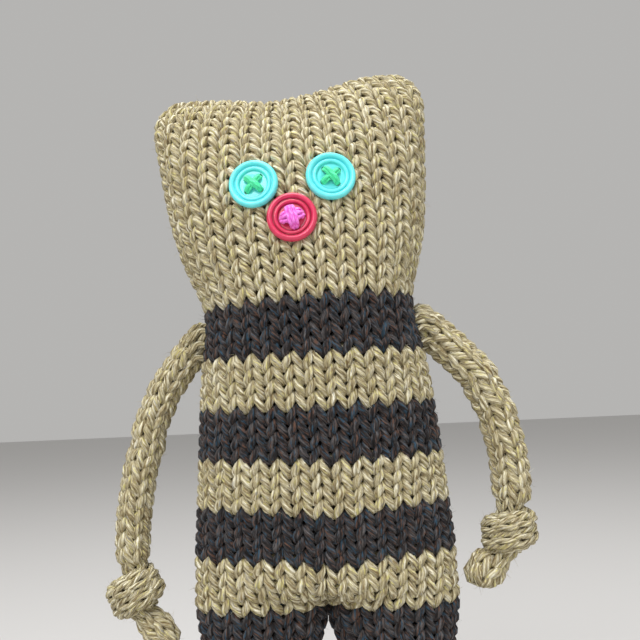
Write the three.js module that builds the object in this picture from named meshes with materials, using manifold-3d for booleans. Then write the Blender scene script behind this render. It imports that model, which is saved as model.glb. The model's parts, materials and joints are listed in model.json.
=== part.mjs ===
// A hand-knitted toy bear: one striped, stuffed tube with a square head whose corners are the ears,
// two stuffed legs, two knitted-cord arms that end in knots, and sewn buttons for the eyes and nose.
// Millimetres, +Z up. The bear stands on its soles at z = 0, faces -Y, and its own left side is +X.
import * as THREE from "three";
import { mergeVertices } from "three/addons/utils/BufferGeometryUtils.js";
import Module from "manifold-3d";

const wasm = await Module();
wasm.setup();

// Driving dimensions of the knitting
const rowHeight = 3.9;
const rowsPerBand = 4;
const neckRows = 2;
const coverWall = 3.0;
const seamGap = 0.3;

// Rows from the sole to the crotch and from the crotch to the neck
const legRows = 22;
const torsoRows = 22;

// Outside widths and depths of the trunk and head, from the hips up
const hipWidth = 83;
const hipDepth = 34;
const waistWidth = 78;
const waistDepth = 40.5;
const chestWidth = 73.4;
const chestDepth = 46;
const neckWidth = 67.4;
const neckDepth = 49.5;
const jawWidth = 76.4;
const jawDepth = 48;
const cheekWidth = 82;
const cheekDepth = 43;
const browWidth = 86;
const browDepth = 33;
const earWidth = 87.6;
const earDepth = 23;
const crownWidth = 75.4;
const crownDepth = 5.4;
const sectionSquareness = 2.3;

// Heights of those sections: below the neck line, above it, and below the crown
const headHeight = 68;
const waistDrop = 47;
const chestDrop = 19;
const jawRise = 15;
const cheekRise = 34.5;
const browDrop = 15;
const earDrop = 8.5;
const earLift = 2.2;
const headLean = THREE.MathUtils.degToRad(3.2);

// Legs: the thighs are the two halves of the hips, so their width follows the hips
const crotchGap = 1.2;
const thighDepth = 26;
const kneeWidth = 32.6;
const kneeDepth = 29.5;
const kneeHeight = 43;
const ankleWidth = 33;
const ankleDepth = 30;
const ankleHeight = 20;
const footWidth = 34.6;
const footDepth = 32;
const footHeight = 7;
const soleWidth = 28;
const soleDepth = 26;
const hipPivotDrop = 4;

// Stuffed neck, on which the head nods and tilts
const neckBallRadius = 14;
const neckBallPlay = 0.9;

// Arms: knitted cords, each point given as [drop below the shoulder, gap from cord to body side]
const cordDiameter = 11;
const elbowBend = THREE.MathUtils.degToRad(80);
const stitchRingRadius = 3.6;
const stitchYarnDiameter = 1.6;
const knotWidth = 18.6;
const knotHeight = 16;
const knotDepth = 15.6;
const knotWrapDiameter = 7;
const knotWrapProud = 0.6;
const rightArm = {
  side: -1,
  shoulderDrop: 12.4,
  route: [
    [10.9, 6],
    [20.2, 10.2],
    [32.6, 12.8],
    [45.1, 14.1],
    [57.4, 14.6],
    [66.6, 13.8],
  ],
  knot: [75.9, 12.5],
  tail: [
    [84.5, 7.9],
    [92, 3],
  ],
  knotTilt: THREE.MathUtils.degToRad(-30),
};
const leftArm = {
  side: 1,
  shoulderDrop: 10,
  route: [
    [5.3, 6.1],
    [15.1, 10.8],
    [25.8, 14],
    [37, 15.8],
    [49.5, 15.3],
    [56.6, 13.8],
  ],
  knot: [64.8, 11.4],
  tail: [
    [73, 6.8],
    [79.5, 2.2],
  ],
  knotTilt: THREE.MathUtils.degToRad(-24),
};

// Buttons and their sewing thread
const buttonDiameter = 15;
const buttonThickness = 2.8;
const buttonFloor = 1.5;
const buttonRimWidth = 2.3;
const buttonEdge = 0.6;
const buttonGroove = 0.35;
const holeDiameter = 1.9;
const holeCircleDiameter = 5.8;
const threadDiameter = 1.1;
const eyeGap = 7.8;
const eyeDrop = 33.8;
const faceOffset = -1.2;
const noseOffset = -2.25;
const noseGap = 0.5;
const rightEyeTurn = THREE.MathUtils.degToRad(45);
const leftEyeTurn = THREE.MathUtils.degToRad(36);
const noseTurn = 0;

// Facet counts round each kind of piece
const trunkSides = 24;
const legSides = 16;
const cordSides = 10;
const buttonSides = 20;
const threadSides = 6;
const ringSides = 6;
const holeSides = 10;
const ballSides = 14;
const ballRings = 8;
const capRings = 3;

// Levels worked out from the rows
const bandHeight = rowHeight * rowsPerBand;
const crotchHeight = rowHeight * legRows;
const neckHeight = crotchHeight + rowHeight * torsoRows;
const neckRise = rowHeight * neckRows;
const headBase = neckHeight + neckRise;
const shoulderTop = neckHeight - neckRise;
const crownHeight = neckHeight + headHeight;
const thighWidth = (hipWidth - crotchGap) / 2;
const legCentre = crotchGap / 2 + thighWidth / 2;
const legTop = crotchHeight - bandHeight / 2;
const torsoBottom = legTop + bandHeight;
const hipPivotHeight = crotchHeight - hipPivotDrop;
const cordRadius = cordDiameter / 2;

const lightYarn = new THREE.MeshStandardMaterial({ color: 0xa99f76, roughness: 0.95 });
const darkYarn = new THREE.MeshStandardMaterial({ color: 0x3a3632, roughness: 0.95 });
const fibrefill = new THREE.MeshStandardMaterial({ color: 0xe9e6de, roughness: 1 });
const turquoisePlastic = new THREE.MeshStandardMaterial({ color: 0x3fdfe0, roughness: 0.3 });
const redPlastic = new THREE.MeshStandardMaterial({ color: 0xd2304f, roughness: 0.3 });
const greenThread = new THREE.MeshStandardMaterial({ color: 0x2fd08a, roughness: 0.6 });
const pinkThread = new THREE.MeshStandardMaterial({ color: 0xe04fc6, roughness: 0.5 });

// A smooth curve through [place, value] stations that never swings past them.
function smoothThrough(stations) {
  const slopes = stations.slice(1).map(([x, y], i) => (y - stations[i][1]) / (x - stations[i][0]));
  const tangents = stations.map((_, i) => {
    const before = slopes[i - 1] ?? slopes[i];
    const after = slopes[i] ?? slopes[i - 1];
    return before * after <= 0 ? 0 : (2 * before * after) / (before + after);
  });
  return (x) => {
    const last = stations.length - 1;
    if (x <= stations[0][0]) return stations[0][1];
    if (x >= stations[last][0]) return stations[last][1];
    const i = stations.findIndex(([at]) => at > x) - 1;
    const span = stations[i + 1][0] - stations[i][0];
    const t = (x - stations[i][0]) / span;
    const bend = (1 - t) * (tangents[i] * (1 - t) * t) - t * (tangents[i + 1] * (1 - t) * t);
    const ease = t * t * (3 - 2 * t);
    return stations[i][1] * (1 - ease) + stations[i + 1][1] * ease + bend * span;
  };
}

// A closed mesh through rings of points, with a fan over each end.
function loft(rings) {
  const count = rings[0].length;
  const middle = (ring) => ring.reduce((sum, p) => sum.add(p), new THREE.Vector3()).divideScalar(count);
  const points = [...rings.flat(), middle(rings[0]), middle(rings[rings.length - 1])];
  const bottom = rings.length * count;
  const top = bottom + 1;
  const faces = [];
  for (let i = 0; i < count; i++) {
    const next = (i + 1) % count;
    for (let k = 0; k < rings.length - 1; k++) {
      const here = k * count;
      const above = here + count;
      faces.push(here + i, here + next, above + next, here + i, above + next, above + i);
    }
    const last = (rings.length - 1) * count;
    faces.push(bottom, next, i, top, last + i, last + next);
  }
  return new THREE.BufferGeometry().setFromPoints(points).setIndex(faces);
}

function solidOf(geometry) {
  const bare = geometry.clone();
  bare.deleteAttribute("normal");
  bare.deleteAttribute("uv");
  const merged = mergeVertices(bare);
  return new wasm.Manifold(
    new wasm.Mesh({
      numProp: 3,
      vertProperties: new Float32Array(merged.attributes.position.array),
      triVerts: new Uint32Array(merged.index.array),
    }),
  );
}

function geometryOf(solid) {
  const mesh = solid.getMesh();
  return new THREE.BufferGeometry()
    .setAttribute("position", new THREE.BufferAttribute(mesh.vertProperties, mesh.numProp))
    .setIndex(new THREE.BufferAttribute(mesh.triVerts, 1));
}

function addPiece(group, name, shape, material) {
  const geometry = shape.isBufferGeometry ? shape : geometryOf(shape);
  const piece = new THREE.Mesh(geometry, material);
  piece.name = name;
  group.add(piece);
}

// Evenly spaced levels from one height to another, at most a step apart.
function levels(from, to, step) {
  const count = Math.max(1, Math.ceil((to - from) / step));
  return Array.from({ length: count + 1 }, (_, i) => from + ((to - from) * i) / count);
}

// An oval section as a ring of [x, y], starting at +X. A squareness over 2 flattens its sides.
function oval(halfWidth, halfDepth, sides, squareness = 2) {
  const bulge = (value) => Math.sign(value) * Math.abs(value) ** (2 / squareness);
  return Array.from({ length: sides }, (_, i) => {
    const angle = (2 * Math.PI * i) / sides;
    return [halfWidth * bulge(Math.cos(angle)), halfDepth * bulge(Math.sin(angle))];
  });
}

// Turns of the rings that round off an end, from its rim towards its tip.
const capTurns = Array.from({ length: capRings }, (_, i) => ((i + 1) / (capRings + 1)) * (Math.PI / 2));

// Trunk and head: sections along a spine that stands on the hips and leans more and more up to the head.
const trunkHeights = {
  hip: crotchHeight,
  waist: neckHeight - waistDrop,
  chest: neckHeight - chestDrop,
  neck: neckHeight,
  jaw: neckHeight + jawRise,
  cheek: neckHeight + cheekRise,
  brow: crownHeight - browDrop,
  ear: crownHeight - earDrop,
  crown: crownHeight,
};
const trunkHalfWidth = smoothThrough([
  [trunkHeights.hip, hipWidth / 2],
  [trunkHeights.waist, waistWidth / 2],
  [trunkHeights.chest, chestWidth / 2],
  [trunkHeights.neck, neckWidth / 2],
  [trunkHeights.jaw, jawWidth / 2],
  [trunkHeights.cheek, cheekWidth / 2],
  [trunkHeights.brow, browWidth / 2],
  [trunkHeights.ear, earWidth / 2],
  [trunkHeights.crown, crownWidth / 2],
]);
const trunkHalfDepth = smoothThrough([
  [trunkHeights.hip, hipDepth / 2],
  [trunkHeights.waist, waistDepth / 2],
  [trunkHeights.chest, chestDepth / 2],
  [trunkHeights.neck, neckDepth / 2],
  [trunkHeights.jaw, jawDepth / 2],
  [trunkHeights.cheek, cheekDepth / 2],
  [trunkHeights.brow, browDepth / 2],
  [trunkHeights.ear, earDepth / 2],
  [trunkHeights.crown, crownDepth / 2],
]);

// The spine bends along an arc between the hips and the head's base.
function spineAt(height) {
  const bendLength = headBase - torsoBottom;
  const bent = THREE.MathUtils.clamp((height - torsoBottom) / bendLength, 0, 1);
  const lean = headLean * bent;
  const radius = bendLength / headLean;
  const beyond = Math.max(0, height - headBase);
  const below = Math.min(height, torsoBottom);
  const x = -radius * (1 - Math.cos(lean)) - beyond * Math.sin(lean);
  const z = below + radius * Math.sin(lean) + beyond * Math.cos(lean);
  return { centre: new THREE.Vector3(x, 0, z), lean };
}

// The ears stand above the middle of the crown, and the lift fades out below them.
function liftAt(height, x) {
  const share = THREE.MathUtils.smoothstep(height, neckHeight + cheekRise, crownHeight);
  return earLift * share * (x / (earWidth / 2)) ** 2;
}

const leanAxis = new THREE.Vector3(0, 1, 0);
function trunkRing(height, inset) {
  const { centre, lean } = spineAt(height);
  const halfWidth = trunkHalfWidth(height) - inset;
  const halfDepth = trunkHalfDepth(height) - inset;
  return oval(halfWidth, halfDepth, trunkSides, sectionSquareness).map(([x, y]) =>
    new THREE.Vector3(x, y, liftAt(height, x)).applyAxisAngle(leanAxis, -lean).add(centre),
  );
}

const trunkStep = 9;
const crownStep = 2.4;
function trunkSolid(from, to, inset) {
  const ears = crownHeight - earDrop;
  const below = levels(from, Math.min(to, ears), trunkStep);
  const above = to > ears ? levels(ears, to, crownStep) : [];
  const heights = [...below, ...above];
  return solidOf(loft([...new Set(heights)].map((height) => trunkRing(height, inset))));
}

// A knitted band round the trunk, open above and below.
function trunkBand(from, to) {
  const outside = trunkSolid(from + seamGap / 2, to - seamGap / 2, 0);
  return outside.subtract(trunkSolid(from - seamGap, to + seamGap, coverWall));
}

function ball(radius, centre) {
  const sphere = new THREE.SphereGeometry(radius, ballSides, ballRings);
  return solidOf(sphere.translate(centre.x, centre.y, centre.z));
}

const bear = new THREE.Group();
const stuffingInset = coverWall + seamGap;
const neckPivot = spineAt(neckHeight).centre;
const neckSocket = ball(neckBallRadius + neckBallPlay, neckPivot);

// Torso: the knitted bands from the hips to the shoulders, and the stuffing inside them
addPiece(bear, "shoulder_band", trunkBand(neckHeight - bandHeight, shoulderTop), darkYarn);
const torsoBandNames = [
  ["torso_band_dark_lower", darkYarn],
  ["torso_band_light_lower", lightYarn],
  ["torso_band_dark_upper", darkYarn],
  ["torso_band_light_upper", lightYarn],
];
torsoBandNames.forEach(([name, yarn], i) => {
  const bottom = torsoBottom + i * bandHeight;
  addPiece(bear, name, trunkBand(bottom, bottom + bandHeight), yarn);
});
const torsoStuffing = trunkSolid(torsoBottom + seamGap / 2, shoulderTop - seamGap / 2, stuffingInset);
addPiece(bear, "torso_stuffing", torsoStuffing.subtract(neckSocket), fibrefill);

// Neck: two rows of each yarn that give as the head moves, round a ball of stuffing
addPiece(bear, "neck_rows_dark", trunkBand(shoulderTop, neckHeight), darkYarn);
addPiece(bear, "neck_rows_light", trunkBand(neckHeight, headBase), lightYarn);
addPiece(bear, "neck_stuffing", ball(neckBallRadius, neckPivot), fibrefill);

// Head: a pouch that is open at the neck and drawn flat at the crown, and its stuffing
const headOutside = trunkSolid(headBase + seamGap / 2, crownHeight, 0);
const headInside = trunkSolid(headBase - seamGap, crownHeight - coverWall, coverWall);
const headStuffing = trunkSolid(headBase + seamGap / 2, crownHeight - stuffingInset, stuffingInset);
addPiece(bear, "head_cover", headOutside.subtract(headInside), lightYarn);
addPiece(bear, "head_stuffing", headStuffing.subtract(neckSocket), fibrefill);

// Legs: knitted bands, a foot closed at the sole, and stuffing with a rounded top at the hip
const legHalfWidth = smoothThrough([
  [0, soleWidth / 2],
  [footHeight, footWidth / 2],
  [ankleHeight, ankleWidth / 2],
  [kneeHeight, kneeWidth / 2],
  [legTop, thighWidth / 2],
]);
const legHalfDepth = smoothThrough([
  [0, soleDepth / 2],
  [footHeight, footDepth / 2],
  [ankleHeight, ankleDepth / 2],
  [kneeHeight, kneeDepth / 2],
  [legTop, thighDepth / 2],
  [torsoBottom, hipDepth / 2],
]);

function legRing(side, height, inset, halfDepth = legHalfDepth(height) - inset) {
  const ring = oval(legHalfWidth(height) - inset, halfDepth, legSides);
  return ring.map(([x, y]) => new THREE.Vector3(side * legCentre + x, y, height));
}

const legStep = 9;
const soleStep = 2.4;
const stuffingStep = 13.5;
function legSolid(side, from, to, inset) {
  const heights = [...levels(from, Math.min(to, footHeight), soleStep), ...levels(footHeight, to, legStep)];
  const kept = from < footHeight ? [...new Set(heights)] : levels(from, to, legStep);
  return solidOf(loft(kept.map((height) => legRing(side, height, inset))));
}

function legBand(side, from, to) {
  const outside = legSolid(side, from + seamGap / 2, to - seamGap / 2, 0);
  return outside.subtract(legSolid(side, from - seamGap, to + seamGap, coverWall));
}

function addLeg(side, owner) {
  const foot = legSolid(side, 0, bandHeight - seamGap / 2, 0);
  addPiece(
    bear,
    `${owner}_foot`,
    foot.subtract(legSolid(side, coverWall, bandHeight + seamGap, coverWall)),
    darkYarn,
  );
  const bands = [
    ["leg_band_light_lower", lightYarn],
    ["leg_band_dark_lower", darkYarn],
    ["leg_band_light_upper", lightYarn],
    ["leg_band_dark_upper", darkYarn],
  ];
  bands.forEach(([name, yarn], i) => {
    const bottom = (i + 1) * bandHeight;
    addPiece(bear, `${owner}_${name}`, legBand(side, bottom, bottom + bandHeight), yarn);
  });
  addPiece(bear, `${owner}_hip_band`, legBand(side, legTop, torsoBottom), lightYarn);

  // The stuffing's top is a half round about the hip, so that it turns under the torso.
  const stemHeights = levels(stuffingInset, hipPivotHeight, stuffingStep);
  const stem = stemHeights.map((height) => legRing(side, height, stuffingInset));
  const topRadius = legHalfDepth(legTop) - stuffingInset;
  const top = capTurns.map((turn) =>
    legRing(side, hipPivotHeight + topRadius * Math.sin(turn), stuffingInset, topRadius * Math.cos(turn)),
  );
  stem[stem.length - 1] = legRing(side, hipPivotHeight, stuffingInset, topRadius);
  addPiece(bear, `${owner}_leg_stuffing`, solidOf(loft([...stem, ...top])), fibrefill);
}
addLeg(1, "left");
addLeg(-1, "right");

const cordStepShare = 1.4;

// A round cord along a path in the XZ plane, from one length to another, with round or flat ends.
function cordGeometry(path, from, to, radius, sides, roundStart, roundEnd) {
  const length = path.getLength();
  const ringAt = (along, ringRadius, ahead) => {
    const place = path.getPointAt(along / length);
    const tangent = path.getTangentAt(along / length).setY(0).normalize();
    const across = new THREE.Vector3(-tangent.z, 0, tangent.x);
    return oval(ringRadius, ringRadius, sides).map(([u, v]) =>
      place
        .clone()
        .addScaledVector(tangent, ahead)
        .addScaledVector(across, -u)
        .add(new THREE.Vector3(0, v, 0)),
    );
  };
  const cap = (along, way) =>
    capTurns.map((turn) => ringAt(along, radius * Math.cos(turn), way * radius * Math.sin(turn)));
  const body = levels(from, to, radius * cordStepShare).map((along) => ringAt(along, radius, 0));
  const start = roundStart ? cap(from, -1).reverse() : [];
  const end = roundEnd ? cap(to, 1) : [];
  return loft([...start, ...body, ...end]);
}

const cordSolid = (...shape) => solidOf(cordGeometry(...shape));

// The knot is a lump with one turn of the cord standing proud round it.
function knotSolid(place, tilt, grow) {
  const lump = solidOf(
    new THREE.SphereGeometry(1, ballSides, ballRings)
      .scale(knotWidth / 2 + grow, knotDepth / 2 + grow, knotHeight / 2 + grow)
      .rotateY(tilt)
      .translate(place.x, place.y, place.z),
  );
  const wrapRadius = knotWrapDiameter / 2 + grow;
  const wrapReach = (knotWidth - knotWrapDiameter) / 2 + knotWrapProud;
  const wrap = solidOf(
    new THREE.TorusGeometry(wrapReach, wrapRadius, ballRings, ballSides)
      .scale(1, knotDepth / knotWidth, 1)
      .rotateY(tilt)
      .translate(place.x, place.y, place.z),
  );
  return lump.add(wrap);
}

const shoulderGap = seamGap + stitchYarnDiameter / 2;
const pivots = { neck: neckPivot, hip: new THREE.Vector3(legCentre, 0, hipPivotHeight) };

function addArm(owner, { side, shoulderDrop, route, knot, tail, knotTilt }) {
  const shoulderHeight = neckHeight - shoulderDrop;
  const bodySide = (height) => trunkHalfWidth(Math.max(height, crotchHeight));
  const ringReach = stitchRingRadius + stitchYarnDiameter;
  const sideRise = side * bodySide(shoulderHeight) * Math.sin(spineAt(shoulderHeight).lean);
  const seatHeight = shoulderHeight - sideRise;
  const { centre, lean } = spineAt(seatHeight);
  const sideAbove = bodySide(seatHeight + ringReach);
  const sideBelow = bodySide(seatHeight - ringReach);
  const sideSwell = Math.max(0, bodySide(seatHeight) - (sideAbove + sideBelow) / 2);
  const sideTilt = Math.atan((sideBelow - sideAbove) / (2 * ringReach));
  const outward = new THREE.Vector3(side * Math.cos(sideTilt), 0, Math.sin(sideTilt));
  outward.applyAxisAngle(leanAxis, -lean);
  const seat = new THREE.Vector3(side * ((sideAbove + sideBelow) / 2 + sideSwell), 0, 0);
  seat.applyAxisAngle(leanAxis, -lean).add(centre);
  const ringPlace = seat.clone().addScaledVector(outward, shoulderGap);
  const ballReach = cordRadius + stitchYarnDiameter / 2 + seamGap;
  const ballRise = Math.sqrt(ballReach ** 2 - stitchRingRadius ** 2);
  const shoulder = ringPlace.clone().addScaledVector(outward, ballRise);
  const placed = ([drop, gap]) => {
    const height = shoulderHeight - drop;
    return new THREE.Vector3(side * (bodySide(height) + cordRadius + gap), 0, height);
  };
  const knotPlace = placed(knot);
  const path = new THREE.CatmullRomCurve3([shoulder, ...route.map(placed), knotPlace]);
  const tailPath = new THREE.CatmullRomCurve3([knotPlace, ...tail.map(placed)]);
  const length = path.getLength();
  const elbowAt = length / 2;
  const elbow = path.getPointAt(elbowAt / length);
  const elbowLip = cordRadius * Math.tan(elbowBend / 2) + seamGap;

  // The stitches that hold the cord's end to the body's side
  const ring = new THREE.TorusGeometry(stitchRingRadius, stitchYarnDiameter / 2, ringSides, ballSides);
  ring.rotateY(Math.PI / 2 - side * sideTilt - lean).translate(ringPlace.x, 0, ringPlace.z);
  addPiece(bear, `${owner}_shoulder_stitches`, ring, lightYarn);

  const upper = cordSolid(path, 0, elbowAt - elbowLip, cordRadius, cordSides, true, false);
  addPiece(bear, `${owner}_upper_arm`, upper.subtract(ball(cordRadius + seamGap, elbow)), lightYarn);
  const knotRoom = knotSolid(knotPlace, knotTilt, seamGap);
  const forearm = cordSolid(path, elbowAt, length, cordRadius, cordSides, true, false);
  addPiece(bear, `${owner}_forearm`, forearm.subtract(knotRoom), lightYarn);
  addPiece(bear, `${owner}_hand_knot`, knotSolid(knotPlace, knotTilt, 0), lightYarn);
  const tailEnd = tailPath.getLength();
  const tailCord = cordSolid(tailPath, 0, tailEnd, cordRadius, cordSides, false, true);
  addPiece(bear, `${owner}_cord_tail`, tailCord.subtract(knotRoom), lightYarn);

  const tangent = path.getTangentAt(elbowAt / length);
  pivots[`${owner}_shoulder`] = shoulder;
  pivots[`${owner}_swing_axis`] = outward.clone().multiplyScalar(-side);
  pivots[`${owner}_elbow`] = elbow;
  pivots[`${owner}_elbow_axis`] = new THREE.Vector3(tangent.z, 0, -tangent.x);
}
addArm("right", rightArm);
addArm("left", leftArm);

// Buttons: a dished disc with a rounded rim, a fine groove and four holes, lying along +Z
const buttonRadius = buttonDiameter / 2;
const holeReach = holeCircleDiameter / 2;

function buttonSolid() {
  const dish = buttonRadius - buttonRimWidth;
  const profile = [
    [0, 0],
    [buttonRadius - buttonEdge, 0],
    [buttonRadius, buttonEdge],
    [buttonRadius, buttonThickness - 2 * buttonEdge],
    [buttonRadius - buttonEdge, buttonThickness - buttonEdge / 2],
    [buttonRadius - buttonRimWidth / 2, buttonThickness],
    [dish + buttonEdge, buttonThickness - buttonEdge],
    [dish, buttonFloor - buttonGroove],
    [dish - buttonEdge, buttonFloor],
    [0, buttonFloor],
  ];
  const disc = new THREE.LatheGeometry(
    profile.map(([r, h]) => new THREE.Vector2(r, h)),
    buttonSides,
  ).rotateX(Math.PI / 2);
  const holes = [0, 1, 2, 3].map((i) => {
    const angle = (i * Math.PI) / 2;
    const bore = holeDiameter / 2;
    const hole = new THREE.CylinderGeometry(bore, bore, buttonThickness * 2, holeSides).rotateX(Math.PI / 2);
    return solidOf(hole.translate(holeReach * Math.cos(angle), holeReach * Math.sin(angle), 0));
  });
  return holes.reduce((button, hole) => button.subtract(hole), solidOf(disc));
}

// Two strands of thread cross the dish from hole to hole and go down through the button.
function crossThread() {
  const radius = threadDiameter / 2;
  const over = buttonFloor + seamGap + radius;
  const strand = new THREE.CatmullRomCurve3(
    [
      [-holeReach, seamGap],
      [-holeReach, buttonFloor],
      [-holeReach + radius, over],
      [0, over + radius],
      [holeReach - radius, over],
      [holeReach, buttonFloor],
      [holeReach, seamGap],
    ].map(([x, z]) => new THREE.Vector3(x, 0, z)),
    false,
    "centripetal",
  );
  const one = cordGeometry(strand, 0, strand.getLength(), radius, threadSides, false, false);
  return solidOf(one).add(solidOf(one.clone().rotateZ(Math.PI / 2)));
}

// A button lies on the head's front, square to the cover at a given place below the crown.
function faceFrame(x, drop) {
  const height = crownHeight - drop;
  const frontAt = (across, up) => {
    const share = Math.abs(across / trunkHalfWidth(up)) ** sectionSquareness;
    const front = -trunkHalfDepth(up) * (1 - share) ** (1 / sectionSquareness);
    return new THREE.Vector3(across, front, up - headBase);
  };
  const step = 1;
  const place = frontAt(x, height);
  const sideways = frontAt(x + step, height).sub(frontAt(x - step, height));
  const upwards = frontAt(x, height + step).sub(frontAt(x, height - step));
  const outward = sideways.clone().cross(upwards).normalize();
  const across = sideways.normalize();
  const frame = new THREE.Matrix4().makeBasis(across, outward.clone().cross(across), outward);
  return frame.setPosition(place.addScaledVector(outward, seamGap));
}

const headFrame = new THREE.Group();
headFrame.position.copy(spineAt(headBase).centre);
headFrame.rotation.y = -headLean;
bear.add(headFrame);

function addButton(owner, x, drop, turn, plastic, thread) {
  const seat = new THREE.Group();
  seat.applyMatrix4(faceFrame(x, drop));
  headFrame.add(seat);
  const sewn = new THREE.Group();
  sewn.rotation.z = turn;
  seat.add(sewn);
  addPiece(sewn, `${owner}_button`, buttonSolid(), plastic);
  addPiece(sewn, `${owner}_thread`, crossThread(), thread);
}

const eyeReach = (buttonDiameter + eyeGap) / 2;
const noseReach = buttonDiameter + noseGap;
const nearEye = eyeReach + noseOffset - faceOffset;
const noseDrop = eyeDrop + Math.sqrt(noseReach ** 2 - nearEye ** 2);
addButton("right_eye", faceOffset - eyeReach, eyeDrop, rightEyeTurn, turquoisePlastic, greenThread);
addButton("left_eye", faceOffset + eyeReach, eyeDrop, leftEyeTurn, turquoisePlastic, greenThread);
addButton("nose", noseOffset, noseDrop, noseTurn, redPlastic, pinkThread);

bear.userData.pivots = pivots;

export default bear;
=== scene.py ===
import json
import math
import bpy
import numpy as np
from mathutils import Matrix, Vector
from mathutils.bvhtree import BVHTree


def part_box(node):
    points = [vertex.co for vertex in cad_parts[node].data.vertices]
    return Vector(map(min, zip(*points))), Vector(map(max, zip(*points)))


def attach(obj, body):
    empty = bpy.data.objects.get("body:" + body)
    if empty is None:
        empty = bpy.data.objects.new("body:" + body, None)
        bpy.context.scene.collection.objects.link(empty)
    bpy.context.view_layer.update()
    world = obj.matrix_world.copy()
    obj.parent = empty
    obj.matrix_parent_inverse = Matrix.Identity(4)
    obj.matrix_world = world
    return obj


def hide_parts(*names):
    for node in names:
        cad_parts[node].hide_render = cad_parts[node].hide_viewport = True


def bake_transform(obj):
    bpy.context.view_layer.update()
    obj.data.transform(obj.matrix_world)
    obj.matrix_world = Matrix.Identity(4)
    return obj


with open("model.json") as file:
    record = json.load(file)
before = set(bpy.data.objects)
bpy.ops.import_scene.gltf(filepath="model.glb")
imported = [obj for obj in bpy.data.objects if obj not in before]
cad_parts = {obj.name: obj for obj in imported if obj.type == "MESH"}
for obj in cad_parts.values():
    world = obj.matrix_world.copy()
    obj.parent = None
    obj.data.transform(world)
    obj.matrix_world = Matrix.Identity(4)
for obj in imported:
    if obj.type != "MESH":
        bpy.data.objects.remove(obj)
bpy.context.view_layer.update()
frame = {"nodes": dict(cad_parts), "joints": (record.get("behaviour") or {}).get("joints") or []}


# Camera: close in front of the bear, a little below its neck, looking slightly up and rolled a little.
# The lens is given as a focal length in pixels of a square picture.
lens_pixels = 812.5
frame_pixels = 640
camera_distance = 0.260
camera_height = 0.1426
camera_side = 0.0014
camera_pitch = math.radians(5.1)
camera_roll = math.radians(2.5)
scene = bpy.context.scene
put_in_scene = scene.collection.objects.link
camera = bpy.data.objects.new("camera", bpy.data.cameras.new("camera"))
camera.data.lens = camera.data.sensor_width * lens_pixels / frame_pixels
camera.data.clip_start = 0.01
camera.data.clip_end = 20
camera.matrix_world = (
    Matrix.Translation((camera_side, -camera_distance, camera_height))
    @ Matrix.Rotation(math.radians(90) + camera_pitch, 4, "X")
    @ Matrix.Rotation(-camera_roll, 4, "Z")
)
put_in_scene(camera)
scene.camera = camera
scene.view_settings.view_transform = "Standard"


# Studio: a wide pale floor that the bear stands on, a soft light above the camera's left, one overhead,
# a weak one on the right, and an even sky.
floor_reach = 3


def area_light(name, place, target, size, watts):
    light = bpy.data.objects.new(name, bpy.data.lights.new(name, "AREA"))
    light.data.size = size
    light.data.energy = watts
    aim = (Vector(target) - Vector(place)).to_track_quat("-Z", "Y").to_matrix().to_4x4()
    light.matrix_world = Matrix.Translation(place) @ aim
    put_in_scene(light)


def new_object(name, points, edges, faces):
    mesh = bpy.data.meshes.new(name)
    mesh.from_pydata(points, edges, faces)
    return bpy.data.objects.new(name, mesh)


def new_material(name, finish):
    """A material with its shader's constants set, the material's tree and its shader."""
    made = bpy.data.materials.new(name)
    made.use_nodes = True
    shader = made.node_tree.nodes["Principled BSDF"]
    for socket, value in finish.items():
        shader.inputs[socket].default_value = value
    return made, made.node_tree, shader


area_light("key_light", place=(-0.35, -0.75, 0.95), target=(0, 0, 0.15), size=0.7, watts=10)
area_light("top_light", place=(0.05, -0.15, 1.1), target=(0, 0, 0.2), size=0.6, watts=6.5)
area_light("fill_light", place=(0.9, -0.6, 0.35), target=(0, 0, 0.13), size=0.7, watts=1.8)
sky = bpy.data.worlds.new("sky")
sky.use_nodes = True
sky_light = sky.node_tree.nodes["Background"].inputs
sky_light["Color"].default_value = (0.89, 0.88, 0.86, 1)
sky_light["Strength"].default_value = 0.52
scene.world = sky
floor_corners = [(x * floor_reach, y * floor_reach, 0) for x, y in ((-1, -1), (1, -1), (1, 1), (-1, 1))]
floor = new_object("floor", floor_corners, [], [(0, 1, 2, 3)])
floor_paint = new_material("floor_paint", {"Base Color": (0.62, 0.61, 0.6, 1), "Roughness": 0.8})[0]
floor.data.materials.append(floor_paint)
put_in_scene(floor)


# Yarn: both yarns are a soft heathered wool, spun as four plies that are twisted together. Flecks of other
# shades run along the yarn, and the plies show as slanting ridges round it.
ply_count = 4
twists_per_metre = 75
first_fleck = 3
fleck_apart = 7.3
fleck_edge = 0.05
black, white = (0, 0, 0, 1), (1, 1, 1, 1)
ply_shadow = (0.58, 0.55, 0.51, 1)


def linear(red, green, blue):
    """A screen colour of 0 to 255 on the shader's even scale."""
    share = np.array([red, green, blue]) / 255
    curve = np.where(share <= 0.04045, share / 12.92, ((share + 0.055) / 1.055) ** 2.4)
    return (*[float(c) for c in curve], 1.0)


def node(tree, kind, inputs=(), **settings):
    made = tree.nodes.new(kind)
    for key, value in settings.items():
        setattr(made, key, value)
    for key, value in dict(inputs).items():
        if isinstance(value, bpy.types.NodeSocket):
            tree.links.new(value, made.inputs[key])
        else:
            made.inputs[key].default_value = value
    return made


def reckon(tree, operation, *values):
    return node(tree, "ShaderNodeMath", dict(enumerate(values)), operation=operation).outputs[0]


def sum_of(tree, a, b):
    return reckon(tree, "ADD", a, b)


def times(tree, a, b):
    return reckon(tree, "MULTIPLY", a, b)


def vector_of(tree, **parts):
    return node(tree, "ShaderNodeCombineXYZ", parts).outputs[0]


def parts_of(tree, vector):
    return node(tree, "ShaderNodeSeparateXYZ", {"Vector": vector}).outputs


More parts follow.
